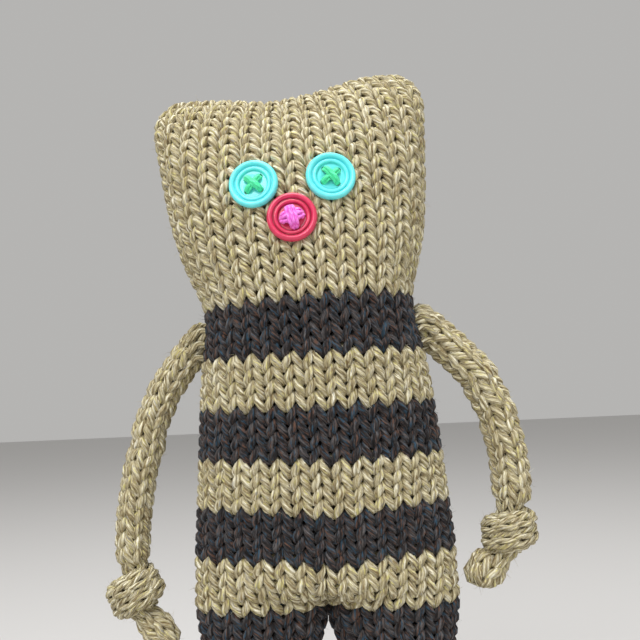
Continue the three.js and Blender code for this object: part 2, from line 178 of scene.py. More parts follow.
def noise(tree, vector, scale, detail, roughness=0.5, distortion=0.0):
    settings = {"Scale": scale, "Detail": detail, "Roughness": roughness, "Distortion": distortion}
    return node(tree, "ShaderNodeTexNoise", {"Vector": vector, **settings}).outputs


def stretched(tree, vector, scale, offset=0):
    settings = {"Vector": vector, "Location": (offset, offset, 0), "Scale": scale}
    return node(tree, "ShaderNodeMapping", settings).outputs["Vector"]


def ramp_node(tree, fac, stops):
    made = node(tree, "ShaderNodeValToRGB", {"Fac": fac})
    for _ in stops[2:]:
        made.color_ramp.elements.new(0.5)
    for element, (place, colour) in zip(made.color_ramp.elements, stops):
        element.position = place
        element.color = colour
    return made.outputs["Color"]


def mix_colour(tree, fac, a, b, blend="MIX"):
    return node(tree, "ShaderNodeMix", {0: fac, 6: a, 7: b}, data_type="RGBA", blend_type=blend).outputs[2]


def bumped(tree, shader, height, strength, distance):
    bump = node(tree, "ShaderNodeBump", {"Height": height, "Strength": strength, "Distance": distance})
    tree.links.new(bump.outputs["Normal"], shader.inputs["Normal"])


def yarn_material(name, stops, flecks, lining_shade):
    """Wool: a ramp of heathered shades, flecks as shares and tints, and a dark painted shade for the
    lining.
    """
    finish = {"Roughness": 0.9, "Specular IOR Level": 0.2, "Sheen Weight": 0.08, "Sheen Roughness": 0.5}
    made, tree, shader = new_material(name, finish)
    strand = parts_of(tree, node(tree, "ShaderNodeUVMap", uv_map="yarn").outputs["UV"])
    turns = sum_of(tree, strand["Y"], times(tree, strand["X"], twists_per_metre))
    angle = times(tree, turns, math.tau)
    millimetres = times(tree, strand["X"], 1000.0)
    fibre = vector_of(tree, X=millimetres, Y=reckon(tree, "COSINE", angle), Z=reckon(tree, "SINE", angle))

    def streaks(offset, along, across, detail):
        drawn = stretched(tree, fibre, (along, across, across), offset)
        return noise(tree, drawn, scale=1.0, detail=detail, roughness=0.7)["Fac"]

    colour = ramp_node(tree, streaks(offset=0, along=0.26, across=1.5, detail=4.0), stops)
    for i, (share, tint) in enumerate(flecks):
        spots = streaks(offset=fleck_apart * i + first_fleck, along=0.5, across=1.9, detail=1.0)
        edge = ramp_node(tree, spots, [(1 - share - fleck_edge, black), (1 - share + fleck_edge, white)])
        colour = mix_colour(tree, edge, colour, tint)
    # Painted shade: the grooves between the plies are darkened by ply_shadow, and the plies are bumped.
    plies = reckon(tree, "SINE", times(tree, angle, ply_count))
    ply_height = node(tree, "ShaderNodeMapRange", {"Value": plies, "From Min": -1.0}).outputs[0]
    groove = ramp_node(tree, ply_height, [(0.0, ply_shadow), (0.45, white)])
    colour = mix_colour(tree, 1.0, colour, groove, "MULTIPLY")
    # Painted shade: the lining behind the stitches takes a darker colour that stands for the shade in the
    # gaps.
    lining = node(tree, "ShaderNodeAttribute", attribute_name="lining").outputs["Fac"]
    colour = mix_colour(tree, lining, colour, lining_shade)
    tree.links.new(colour, shader.inputs["Base Color"])
    hairs = streaks(offset=11, along=1.2, across=6.0, detail=2.0)
    bumped(tree, shader, reckon(tree, "MULTIPLY_ADD", hairs, 1.4, plies), strength=0.7, distance=0.0003)
    return made


yarns = {
    "light_yarn": yarn_material(
        "light_yarn",
        stops=[
            (0.34, linear(120, 103, 72)),
            (0.45, linear(174, 161, 124)),
            (0.55, linear(212, 203, 170)),
            (0.66, linear(252, 248, 228)),
        ],
        flecks=[(0.34, linear(140, 119, 80)), (0.36, linear(216, 207, 140)), (0.32, linear(160, 156, 146))],
        lining_shade=linear(108, 94, 68),
    ),
    "dark_yarn": yarn_material(
        "dark_yarn",
        stops=[(0.34, linear(15, 12, 13)), (0.50, linear(44, 40, 41)), (0.66, linear(108, 104, 104))],
        flecks=[(0.39, linear(48, 74, 92)), (0.38, linear(98, 72, 60))],
        lining_shade=linear(14, 12, 12),
    ),
}


# Stocking stitch: each row is one yarn that waves up and down through the row below it. The tree lays that
# wave on a piece's sheet, which carries the rows and stitches as its UV map, and backs it with a lining.
row_height = 0.0039
row_yarn = 0.41
band_yarn = 0.29
yarn_sides = 8
weld_distance = 0.000002
stitch_drift_across = 0.11
stitch_drift_up = 0.8
thickness_drift = 1.2
hair_root_radius = 0.000045
hair_tip_radius = 0.000012
hair_curl = 230.0
hair_slant = (0.9, 0.9, 3.1)
shortest_hair = 0.35
longest_hair = 1.2
sheet_margin_rows = 2
sheet_margin_stitches = 1
sheet_steps = 3
tightest_stitch = 0.35
loosest_stitch = 1.16
cover_stitch_width = 0.0057
cover_yarn_radius = 0.00122
cover_loop_depth = 0.0012


def over(tree, a, b):
    return reckon(tree, "DIVIDE", a, b)


def above(tree, a, b):
    compared = node(tree, "FunctionNodeCompare", {0: a, 1: b}, data_type="FLOAT", operation="GREATER_THAN")
    return compared.outputs[0]


def scaled(tree, vector, scale):
    return node(tree, "ShaderNodeVectorMath", {0: vector, "Scale": scale}, operation="SCALE").outputs[0]


def position(tree):
    return node(tree, "GeometryNodeInputPosition").outputs[0]


def moved(tree, geometry, **way):
    return node(tree, "GeometryNodeSetPosition", {"Geometry": geometry, **way}).outputs[0]


def stored(tree, geometry, name, value, kind="FLOAT", domain="POINT"):
    settings = {"Geometry": geometry, "Name": name, "Value": value}
    return node(tree, "GeometryNodeStoreNamedAttribute", settings, data_type=kind, domain=domain).outputs[0]


def recalled(tree, name, kind="FLOAT"):
    return node(tree, "GeometryNodeInputNamedAttribute", {"Name": name}, data_type=kind).outputs[0]


def in_material(tree, geometry, material):
    return node(tree, "GeometryNodeSetMaterial", {"Geometry": geometry, "Material": material}).outputs[0]


def realized(tree, geometry):
    return node(tree, "GeometryNodeRealizeInstances", {"Geometry": geometry}).outputs[0]


def sweep(tree, curve, radius, material, start=0.0):
    """A round strand of yarn along a curve, with a UV map of metres along it and turns round it."""
    along = sum_of(tree, node(tree, "GeometryNodeSplineParameter").outputs["Length"], start)
    curve = stored(tree, curve, "along", along)
    full_turn = {"Resolution": yarn_sides, "Radius": 1.0, "Start Angle": 0.0, "Sweep Angle": math.tau}
    rim = node(tree, "GeometryNodeCurveArc", full_turn).outputs["Curve"]
    rim = stored(tree, rim, "around", node(tree, "GeometryNodeSplineParameter").outputs["Factor"])
    settings = {"Curve": curve, "Profile Curve": rim, "Scale": radius, "Fill Caps": False}
    tube = node(tree, "GeometryNodeCurveToMesh", settings).outputs["Mesh"]
    strand = vector_of(tree, X=recalled(tree, "along"), Y=recalled(tree, "around"))
    tube = stored(tree, tube, "yarn", strand, "FLOAT2", "CORNER")
    welded = node(tree, "GeometryNodeMergeByDistance", {"Geometry": tube, "Distance": weld_distance})
    return in_material(tree, welded.outputs[0], material)


def new_tree(name, sockets):
    tree = bpy.data.node_groups.new(name, "GeometryNodeTree")
    tree.interface.new_socket("Geometry", in_out="OUTPUT", socket_type="NodeSocketGeometry")
    tree.interface.new_socket("Geometry", in_out="INPUT", socket_type="NodeSocketGeometry")
    for label, kind in sockets:
        tree.interface.new_socket(label, in_out="INPUT", socket_type="NodeSocket" + kind)
    return tree, tree.nodes.new("NodeGroupInput").outputs, tree.nodes.new("NodeGroupOutput").inputs


def fuzz(tree, yarn, given):
    """Loose curved wool hairs standing out of a strand, except where it lies on the floor."""
    seed = node(tree, "FunctionNodeFloatToInt", {0: given["Seed"]}).outputs[0]
    settings = {"Mesh": yarn, "Density": given["Hair Density"], "Seed": seed}
    roots = node(tree, "GeometryNodeDistributePointsOnFaces", settings).outputs
    settings = {
        "Vertices": 3, "Side Segments": 2, "Fill Segments": 1, "Radius Top": hair_tip_radius,
        "Radius Bottom": hair_root_radius, "Depth": given["Hair Length"],
    }
    hair = node(tree, "GeometryNodeMeshCone", settings).outputs["Mesh"]
    height = parts_of(tree, position(tree))["Z"]
    hair = moved(tree, hair, Offset=vector_of(tree, X=times(tree, times(tree, height, height), hair_curl)))
    settings = {0: [-angle for angle in hair_slant], 1: hair_slant, "Seed": 5}
    slant = node(tree, "FunctionNodeRandomValue", settings, data_type="FLOAT_VECTOR").outputs[0]
    slant = node(tree, "FunctionNodeEulerToRotation", {0: slant}).outputs[0]
    settings = {0: roots["Rotation"], 1: slant}
    facing = node(tree, "FunctionNodeRotateRotation", settings, rotation_space="LOCAL").outputs[0]
    settings = {2: shortest_hair, 3: longest_hair, "Seed": 6}
    sizes = node(tree, "FunctionNodeRandomValue", settings, data_type="FLOAT").outputs[1]
    off_floor = above(tree, height, given["Hair Floor Gap"])
    settings = {
        "Points": roots["Points"], "Selection": off_floor, "Instance": hair, "Rotation": facing,
        "Scale": sizes,
    }
    hairs = realized(tree, node(tree, "GeometryNodeInstanceOnPoints", settings).outputs[0])
    island = node(tree, "GeometryNodeInputMeshIsland").outputs["Island Index"]
    settings = {2: 0.0, 3: 1.0, "ID": island}
    tint = node(tree, "FunctionNodeRandomValue", settings, data_type="FLOAT").outputs[1]
    hairs = stored(tree, hairs, "yarn", vector_of(tree, X=tint), "FLOAT2", "CORNER")
    return in_material(tree, hairs, given["Yarn"])


def knit_tree():
    measures = (
        "Yarn Radius", "Loop Sway", "Loop Rise", "Loop Depth", "Unevenness", "Seed", "Lining Depth",
        "Hair Density", "Hair Length", "Hair Floor Gap",
    )
    sockets = [("Closed", "Bool"), ("Yarn", "Material")]
    sockets += [(count, "Int") for count in ("Stitches", "Rows", "Steps")]
    sockets += [(measure, "Float") for measure in measures]
    tree, given, result = new_tree("stocking_stitch", sockets)
    # Each point of the yarn belongs to a row and lies some stitches along it.
    per_row = times(tree, given["Stitches"], given["Steps"])
    index = node(tree, "GeometryNodeInputIndex").outputs[0]
    row = reckon(tree, "FLOOR", over(tree, sum_of(tree, index, 0.5), per_row))
    in_row = sum_of(tree, index, times(tree, times(tree, row, per_row), -1.0))
    stitch = over(tree, in_row, given["Steps"])
    turn = times(tree, stitch, math.tau)
    double_turn = times(tree, turn, 2.0)
    # A slow drift makes the stitches uneven, and meets itself where the row closes.
    round_angle = times(tree, over(tree, stitch, given["Stitches"]), math.tau)
    drift_circle = times(tree, given["Stitches"], stitch_drift_across)
    place = vector_of(
        tree,
        X=times(tree, reckon(tree, "COSINE", round_angle), drift_circle),
        Y=times(tree, reckon(tree, "SINE", round_angle), drift_circle),
        Z=sum_of(tree, times(tree, row, stitch_drift_up), given["Seed"]),
    )
    drift = parts_of(tree, noise(tree, place, scale=1.0, detail=1.5)["Color"])

    def drifting(channel, share=1.0):
        middle = sum_of(tree, drift[channel], -0.5)
        return times(tree, times(tree, middle, share), given["Unevenness"])

    # The loops sway sideways, rise and fall by rows and go in and out, over a spot on the sheet.
    across = sum_of(tree, stitch, times(tree, reckon(tree, "SINE", double_turn), given["Loop Sway"]))
    across = sum_of(tree, across, drifting("X"))
    upward = times(tree, reckon(tree, "COSINE", turn), times(tree, given["Loop Rise"], -1.0))
    upward = sum_of(tree, sum_of(tree, row, 0.5), upward)
    upward = sum_of(tree, upward, drifting("Y"))
    outward = times(tree, reckon(tree, "COSINE", double_turn), times(tree, given["Loop Depth"], -1.0))
    wide = sum_of(tree, given["Stitches"], 2.0 * sheet_margin_stitches)
    tall = sum_of(tree, given["Rows"], 2.0 * sheet_margin_rows)
    spot = vector_of(
        tree,
        X=over(tree, sum_of(tree, across, float(sheet_margin_stitches)), wide),
        Y=over(tree, sum_of(tree, upward, float(sheet_margin_rows)), tall),
    )
    sheet_uv = recalled(tree, "sheet", "FLOAT_VECTOR")

    def sampled(value, kind="FLOAT_VECTOR"):
        settings = {"Mesh": given["Geometry"], "Value": value, 2: sheet_uv, "Sample UV": spot}
        return node(tree, "GeometryNodeSampleUVSurface", settings, data_type=kind).outputs[0]

    # The yarn lies on the sheet, as thick and as high as its stitch has room for, one curve a row.
    out, stitch_room = recalled(tree, "out", "FLOAT_VECTOR"), recalled(tree, "room")
    room = sampled(stitch_room, "FLOAT")
    ground = sampled(position(tree))
    lifted = scaled(tree, sampled(out), times(tree, outward, room))
    spot_place = node(tree, "ShaderNodeVectorMath", {0: ground, 1: lifted}, operation="ADD").outputs[0]
    points = node(tree, "GeometryNodePoints", {"Count": times(tree, per_row, given["Rows"])}).outputs[0]
    thickness = sum_of(tree, drifting("Z", thickness_drift), 1.0)
    points = stored(tree, points, "thick", times(tree, times(tree, given["Yarn Radius"], room), thickness))
    points = moved(tree, stored(tree, points, "row", row, "INT"), Position=spot_place)
    row_number = recalled(tree, "row", "INT")
    settings = {"Points": points, "Curve Group ID": row_number}
    curve = node(tree, "GeometryNodePointsToCurves", settings).outputs[0]
    settings = {"Geometry": curve, "Cyclic": given["Closed"]}
    curve = node(tree, "GeometryNodeSetSplineCyclic", settings).outputs[0]
    yarn_used = sum_of(tree, times(tree, row_number, row_yarn), times(tree, given["Seed"], band_yarn))
    yarn = sweep(tree, curve, recalled(tree, "thick"), given["Yarn"], yarn_used)
    # The lining is the sheet itself, moved inwards, without its margin.
    inwards = times(tree, times(tree, given["Lining Depth"], stitch_room), -1.0)
    lining = moved(tree, given["Geometry"], Offset=scaled(tree, out, inwards))
    settings = {"Geometry": lining, "Selection": above(tree, recalled(tree, "margin"), 0.5)}
    lining = node(tree, "GeometryNodeDeleteGeometry", settings, domain="FACE").outputs[0]
    # The lining stands for the back of the knitting; its darkened yarn colour is painted shade between the
    # stitches.
    lining = in_material(tree, stored(tree, lining, "lining", 1.0), given["Yarn"])
    knitting = node(tree, "GeometryNodeJoinGeometry")
    for layer in (lining, yarn, fuzz(tree, yarn, given)):
        tree.links.new(layer, knitting.inputs[0])
    tree.links.new(realized(tree, knitting.outputs[0]), result[0])
    return tree


def grown(thing, tree, values):
    """The object with the plain mesh that a tree makes of it, in place of its own."""
    modifier = thing.modifiers.new(tree.name, "NODES")
    modifier.node_group = tree
    for item in tree.interface.items_tree:
        if item.in_out == "INPUT" and item.name in values:
            modifier[item.identifier] = values[item.name]
    put_in_scene(thing)
    evaluated = thing.evaluated_get(bpy.context.evaluated_depsgraph_get())
    made = bpy.data.meshes.new_from_object(evaluated)
    old = thing.data
    thing.modifiers.clear()
    thing.data = made
    bpy.data.meshes.remove(old)
    made.name = thing.name
    for label in ("out", "room", "margin", "thick", "row", "along", "around", "sheet"):
        if label in made.attributes:
            made.attributes.remove(made.attributes[label])
    made.shade_smooth()
    return thing


stocking_stitch = knit_tree()


def keep(mesh, name, kind, domain, values):
    field = "value" if kind == "FLOAT" else "vector"
    mesh.attributes.new(name, kind, domain).data.foreach_set(field, np.asarray(values, np.float32).ravel())


def knitting_sheet(name, place, stitches, first, rows, stitch_width):
    """A piece's sheet, with rows and stitches as a UV map, its outward side, and the room a stitch has."""
    wide = stitches + 2 * sheet_margin_stitches
    tall = rows + 2 * sheet_margin_rows
    us = np.linspace(-sheet_margin_stitches, stitches + sheet_margin_stitches, wide * sheet_steps + 1)
    vs = np.linspace(first - sheet_margin_rows, first + rows + sheet_margin_rows, tall * sheet_steps + 1)
    points = place(vs, us)
    by_u = np.gradient(points, us, axis=1)
    by_v = np.gradient(points, vs, axis=0)
    out = np.cross(by_u, by_v)
    out /= np.linalg.norm(out, axis=2, keepdims=True) + 1e-12
    room = np.clip(np.linalg.norm(by_u, axis=2) / stitch_width, tightest_stitch, loosest_stitch)
    grid = np.arange(len(vs) * len(us)).reshape(len(vs), len(us))
    quads = np.stack([grid[:-1, :-1], grid[:-1, 1:], grid[1:, 1:], grid[1:, :-1]], axis=-1).reshape(-1, 4)
    sheet = new_object(name, points.reshape(-1, 3).tolist(), [], quads.tolist())
    keep(sheet.data, "out", "FLOAT_VECTOR", "POINT", out)
    keep(sheet.data, "room", "FLOAT", "POINT", room)
    u_share = (us - us[0]) / (us[-1] - us[0])
    v_share = (vs - vs[0]) / (vs[-1] - vs[0])
    uv = np.stack(np.broadcast_arrays(u_share[None, :], v_share[:, None]), axis=-1).reshape(-1, 2)
    keep(sheet.data, "sheet", "FLOAT2", "CORNER", uv[quads.ravel()])
    mid_u = (us[:-1] + us[1:]) / 2
    mid_v = (vs[:-1] + vs[1:]) / 2
    spare_u = (mid_u < 0) | (mid_u > stitches)
    spare_v = (mid_v < first) | (mid_v > first + rows)
    keep(sheet.data, "margin", "FLOAT", "FACE", spare_v[:, None] | spare_u[None, :])
    return sheet


def knit(
    name, place, stitches, first, rows, slot,
    stitch_width=cover_stitch_width, yarn_radius=cover_yarn_radius, depth=cover_loop_depth, closed=True,
):
    """A piece of knitting on a sheet, from its first row up, in the yarn of a slot."""
    sheet = knitting_sheet(name, place, stitches, first, rows, stitch_width)
    values = {
        "Stitches": stitches, "Rows": rows, "Steps": 14, "Closed": closed, "Yarn Radius": yarn_radius,
        "Loop Sway": 0.245, "Loop Rise": 0.8, "Loop Depth": depth, "Unevenness": 0.32,
        "Seed": float(sum(map(ord, name)) % 97), "Lining Depth": 0.0011, "Hair Density": 54000.0,
        "Hair Length": 0.0021, "Hair Floor Gap": 0.0027, "Yarn": yarns[slot],
    }
    return grown(sheet, stocking_stitch, values)


# Trunk: one stuffed tube of stocking stitch, 30 stitches round, that makes the body, the neck and the head.
# Its half widths and depths are read off the CAD covers at each half row. The head leans on the neck, its
# two top corners are lifted for ears, and the filling has sunk a little in the body.
trunk_stitches = 30
trunk_squareness = 2.3
oval_points = 721
torso_inset = 0.0024
head_inset = 0.0017
torso_bottom = 0.0936
shoulder_top = 0.1638
neck_line = 0.1716
head_base = 0.1794
crown = 0.2396
crown_gap = 0.0003
crown_half_depth = 0.0004
torso_rows = 18
neck_rows = 4
head_rows = 16
crown_row = torso_rows + neck_rows + head_rows
head_lean = math.radians(3.2)
ear_lift = 0.0022
ear_half_width = 0.0438
ear_lift_from = 0.2061
ear_side_share = 0.9
left_ear_puff = 2.5
right_ear_puff = 0.9
left_ear_swell = 0.0016
left_ear_swell_at = 0.024
left_ear_swell_reach = 0.009
crown_dip = 0.0019
crown_dip_at = -0.006
crown_dip_reach = 0.013
right_cheek_puff = 0.03
sink_drop = 0.0018
sink_skew = 0.022
sink_ramp = 0.035
sink_above = 0.0078
crotch_sag = 0.0022
crotch_sag_at = 0.003
crotch_sag_reach = 0.013
crotch_sag_top = 0.1404
filling_pressure = 40.0
simulated_frames = 20
swell_cap = 0.0012
far_out = 0.2
forward = Vector((0, -1, 0))


def solid_tree(*names):
    """The surface of some CAD nodes, ready for rays to be cast at."""
    points, faces = [], []
    for name in names:
        mesh = frame["nodes"][name].data
        faces += [[v + len(points) for v in face.vertices] for face in mesh.polygons]
        points += [v.co.copy() for v in mesh.vertices]
    return BVHTree.FromPolygons(points, faces)


def reach(solids, inside, way):
    """How far the solids reach from a point inside them."""
    return far_out - solids.ray_cast(inside + far_out * way, -way)[3]


def spine(height):
    """The trunk's middle at a height before it leans, and its sideways and upward directions there."""
    bend = head_base - torso_bottom
    lean = head_lean * min(max((height - torso_bottom) / bend, 0), 1)
    radius = bend / head_lean
    beyond = max(0, height - head_base)
    x = -radius * (1 - math.cos(lean)) - beyond * math.sin(lean)
    z = min(height, torso_bottom) + radius * math.sin(lean) + beyond * math.cos(lean)
    side = Vector((math.cos(lean), 0, math.sin(lean)))
    up = Vector((-math.sin(lean), 0, math.cos(lean)))
    return Vector((x, 0, z)), side, up


def eased(share):
    share = np.clip(share, 0, 1)
    return share * share * (3 - 2 * share)


def hump(x, middle, width):
    return np.exp(-(((x - middle) / width) ** 2))


def near_crown(height):
    return eased((height - ear_lift_from) / (crown - ear_lift_from))


def ears_lift(height, x):
    return ear_lift * near_crown(height) * (x / ear_half_width) ** 2


def slump(height, x):
    """How far the cover stands above its even shape: puffed ears, a dip between them, a sunk belly."""
    ears = ears_lift(height, x) * np.where(x > 0, left_ear_puff, right_ear_puff)
    fuller_ear = left_ear_swell * hump(x, left_ear_swell_at, left_ear_swell_reach)
    dip = crown_dip * hump(x, crown_dip_at, crown_dip_reach)
    sunk = eased((height - torso_bottom) / sink_ramp) * eased((head_base + sink_above - height) / sink_ramp)
    belly = crotch_sag * hump(x, crotch_sag_at, crotch_sag_reach)
    belly = belly * eased((crotch_sag_top - height) / (crotch_sag_top - torso_bottom))
    return ears + (fuller_ear - dip) * near_crown(height) - (sink_drop + sink_skew * x) * sunk - belly


def running_length(points):
    return np.concatenate([[0], np.cumsum(np.linalg.norm(np.diff(points, axis=0), axis=1))])


def between(at, marks, values):
    """Rows of values at places between the marks."""
    return np.stack([np.interp(at, marks, column) for column in np.transpose(values)], axis=1)


def ring(half_width, half_depth, squareness, start, stitches, columns):
    """Points at equal steps round an oval, counter-clockwise from above, starting at an angle."""
    angle = start + np.linspace(0, math.tau, oval_points)
    shares = np.stack([np.cos(angle), np.sin(angle)], axis=1)
    oval = (half_width, half_depth) * np.sign(shares) * np.abs(shares) ** (2 / squareness)
    length = running_length(oval)
    share = np.mod(np.asarray(columns, float), stitches) / stitches * length[-1]
    return between(share, length, oval).T


def smoothed(values, times_over=2):
    for _ in range(times_over):
        padded = np.concatenate([[2 * values[0] - values[1]], values, [2 * values[-1] - values[-2]]])
        values = (padded[:-2] + 2 * padded[1:-1] + padded[2:]) / 4
    return values


trunk_covers = solid_tree(
    "head_cover", "neck_rows_light", "neck_rows_dark", "shoulder_band", "torso_band_light_upper",
    "torso_band_dark_upper", "torso_band_light_lower", "torso_band_dark_lower",
)
half_row = row_height / 2
trunk_levels = np.arange(torso_bottom + half_row / 2, crown - half_row / 2, half_row)
trunk_levels = np.append(trunk_levels, crown - crown_gap)
trunk_widths, trunk_depths = [], []
for level in trunk_levels:
    centre, side, up = spine(level)
    knit_inset = np.interp(level, [shoulder_top, head_base], [torso_inset, head_inset])
    lift = ears_lift(level, ear_side_share * (trunk_widths[-1] if trunk_widths else 0) + knit_inset)
    trunk_widths.append(reach(trunk_covers, centre + up * lift, side) - knit_inset)
    trunk_depths.append(max(reach(trunk_covers, centre, forward) - knit_inset, crown_half_depth))
trunk_widths = smoothed(np.array(trunk_widths))
trunk_depths = np.maximum(smoothed(np.array(trunk_depths), 1), crown_half_depth)
front_length = running_length(np.stack([trunk_levels, trunk_depths], axis=1))
head_start = np.interp(head_base, trunk_levels, front_length)


def trunk_height(row):
    """The height of a row: even up to the head, and then even along the front of the head."""
    if row <= torso_rows + neck_rows:
        return torso_bottom + row * row_height
    climbed = head_start + (row - torso_rows - neck_rows) / head_rows * (front_length[-1] - head_start)
    return float(np.interp(climbed, front_length, trunk_levels))


def tube_faces(rings, sides, first=0):
    """The faces of a closed tube of rings that stand one on another, its lower and upper end last."""
    grid = first + np.arange(rings * sides).reshape(rings, sides)
    turned = np.roll(grid, -1, axis=1)
    walls = np.stack([grid[:-1], turned[:-1], turned[1:], grid[1:]], axis=-1).reshape(-1, 4)
    return [*walls.tolist(), grid[0][::-1].tolist(), grid[-1].tolist()]


def swelling(name, points):
    """How the filling pushes a cover out: cloth with pressure inside, held at both ends and capped."""
    faces = tube_faces(*points.shape[:2])
    cover = new_object(name, points.reshape(-1, 3).tolist(), [], faces)
    put_in_scene(cover)
    held = cover.vertex_groups.new(name="held")
    held.add(faces[-2] + faces[-1], 1.0, "REPLACE")
    cloth = cover.modifiers.new("cloth", "CLOTH").settings
    cloth.vertex_group_mass = held.name
    cloth.use_pressure = True
    cloth.uniform_pressure_force = filling_pressure
    cloth.effector_weights.gravity = 0
    for step in range(1, simulated_frames + 1):
        scene.frame_set(step)
    filled = cover.evaluated_get(bpy.context.evaluated_depsgraph_get()).data
    pushed = np.empty(len(filled.vertices) * 3)
    filled.vertices.foreach_get("co", pushed)
    bpy.data.objects.remove(cover)
    scene.frame_set(1)
    push = pushed.reshape(points.shape) - points
    far = np.linalg.norm(push, axis=2, keepdims=True)
    return push * np.minimum(1, swell_cap / np.maximum(far, 1e-9))


def swollen(push, row, columns):
    """The push at a row, between the simulated rings and stitches."""
    row = min(max(row, 0), len(push) - 1)
    low = min(int(row), len(push) - 2)
    ring_push = push[low] * (low + 1 - row) + push[low + 1] * (row - low)
    stitches = len(ring_push)
    at = np.mod(np.asarray(columns, float), stitches)
    return between(at, np.arange(stitches + 1), np.vstack([ring_push, ring_push[:1]]))


trunk_push = np.zeros((crown_row + 1, trunk_stitches, 3))


def trunk_sheet(rows, columns):
    """The knitted sheet of the trunk: past the crown it goes on down the other side."""
    points = []
    for row in rows:
        around = columns
        if row > crown_row:
            row, around = 2 * crown_row - row, trunk_stitches / 2 - columns
        height = trunk_height(row)
        half_width = np.interp(height, trunk_levels, trunk_widths)
        half_depth = np.interp(height, trunk_levels, trunk_depths)
        x, y = ring(half_width, half_depth, trunk_squareness, math.pi / 2, trunk_stitches, around)
        fuller = eased((height - neck_line) / (ear_lift_from - neck_line)) * right_cheek_puff
        x = np.where(x < 0, x * (1 + fuller), x)
        centre, side, up = spine(height)
        lift = slump(height, x)
        row_points = np.array(centre) + np.outer(x, side) + np.outer(y, (0, 1, 0)) + np.outer(lift, up)
        points.append(row_points + swollen(trunk_push, row, around))
    return np.array(points)


trunk_push = swelling("trunk_cloth", trunk_sheet(np.arange(crown_row + 1), np.arange(trunk_stitches)))


# Torso: four bands and the dark shoulder band. Each is worked round in one yarn and carries on from the
# band below it.
first_giving_row = 12
torso_bands = [
    ("torso_band_dark_lower", 0, 4, "dark_yarn"),
    ("torso_band_light_lower", 4, 4, "light_yarn"),
    ("torso_band_dark_upper", 8, 4, "dark_yarn"),
    ("torso_band_light_upper", 12, 4, "light_yarn"),
    ("shoulder_band", 16, 2, "dark_yarn"),
]


def finished(node_name):
    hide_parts(node_name)


for name, first, rows, slot in torso_bands:
    band = knit("knit_" + name, trunk_sheet, trunk_stitches, first, rows, slot)
    if first < first_giving_row:
        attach(band, "torso")
    else:
        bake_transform(band)
    finished(name)


# Neck: the rows between the shoulders and the head, two in each yarn, with soft filling behind them.
neck_dark = knit("knit_neck_rows_dark", trunk_sheet, trunk_stitches, torso_rows, 2, "dark_yarn")
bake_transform(neck_dark)
finished("neck_rows_dark")
neck_light = knit("knit_neck_rows_light", trunk_sheet, trunk_stitches, torso_rows + 2, 2, "light_yarn")
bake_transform(neck_light)
finished("neck_rows_light")


# Head: a plain pouch in the light yarn. Its rows run up to the crown, where front and back are grafted
# together, and the two ends of that seam stand up as ears.
head = knit("knit_head_cover", trunk_sheet, trunk_stitches, torso_rows + neck_rows, head_rows, "light_yarn")
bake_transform(head)
finished("head_cover")


# Stuffing: white polyester filling, pushed into the covers by hand and rounded at its ends. It lies just
# behind the lining and never shows.
filling_inset = 0.0022
filling_end_rows = 5
filling_levels_per_row = 1.5
filling_points_per_stitch = 2
least_filling = 0.05
trunk_fillings = [
    ("torso_stuffing", "torso", 0, 18),
    ("neck_stuffing", "neck", 15, 25),
    ("head_stuffing", "head", 22, 37),
]
fibrefill, fill_tree, fill_shader = new_material("fibrefill", {"Roughness": 1.0, "Sheen Weight": 0.4})
fill_place = node(fill_tree, "ShaderNodeTexCoord").outputs["Object"]
tufts = noise(fill_tree, fill_place, scale=260.0, detail=5.0, roughness=0.7)["Fac"]
fill_colour = ramp_node(fill_tree, tufts, [(0.3, linear(205, 202, 195)), (0.7, linear(246, 245, 241))])
fill_tree.links.new(fill_colour, fill_shader.inputs["Base Color"])
bumped(fill_tree, fill_shader, tufts, strength=0.6, distance=0.001)


def rounded_end(share):
    """How wide a round end is at a share of the way from its tip to its full width."""
    return np.sqrt(np.clip(1 - (1 - np.clip(share, 0, 1)) ** 2, 0.01, 1))


def filling(name, place, stitches, first, last):
    levels = np.linspace(first, last, int((last - first) * filling_levels_per_row) + 1)
    columns = np.linspace(0, stitches, stitches * filling_points_per_stitch, endpoint=False)
    points = place(levels, columns)
    middles = points.mean(axis=1, keepdims=True)
    from_end = np.minimum(levels - first, last - levels)
    reach_out = np.linalg.norm(points - middles, axis=2, keepdims=True)
    share = np.clip((reach_out - filling_inset) / reach_out, least_filling, 1)
    share = share * rounded_end(from_end / filling_end_rows)[:, None, None]
    points = middles + (points - middles) * share
    made = new_object(name, points.reshape(-1, 3).tolist(), [], tube_faces(*points.shape[:2]))
    made.data.materials.append(fibrefill)
    made.data.shade_smooth()
    put_in_scene(made)
    return made


for name, body, first, last in trunk_fillings:
    stuffing = filling("filling_" + name, trunk_sheet, trunk_stitches, first, last)
    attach(stuffing, body)
    finished(name)


# Legs: stuffed tubes of 15 stitches and six bands, from a gathered sole to the body. There the two halves
# of the trunk's knitting part and close round each leg.
leg_stitches = 15
foot_turn = 0.0078
sole_share = 0.72
sole_rise = 0.0026
sole_first_row = -2
sole_turn_rows = 1.75
sole_spare_rows = 0.4
sole_gather = 0.03
thighs_part = 0.064
crotch_low = 0.0785
crotch_high = 0.0875
thigh_touch = 0.0012
thigh_pull_reach = 0.010
leg_swell_first = 2
leg_swell_last = 20
first_folding_row = 16
leg_filling_rows = (0.6, 21.4)
leg_bands = [
    ("foot", sole_first_row, 4 - sole_first_row, "dark_yarn"),
    ("leg_band_light_lower", 4, 4, "light_yarn"),
    ("leg_band_dark_lower", 8, 4, "dark_yarn"),
    ("leg_band_light_upper", 12, 4, "light_yarn"),
    ("leg_band_dark_upper", 16, 4, "dark_yarn"),
    ("hip_band", 20, 4, "light_yarn"),
]
joint_places = {joint["name"]: Vector(joint["pos_m"]) for joint in frame["joints"]}


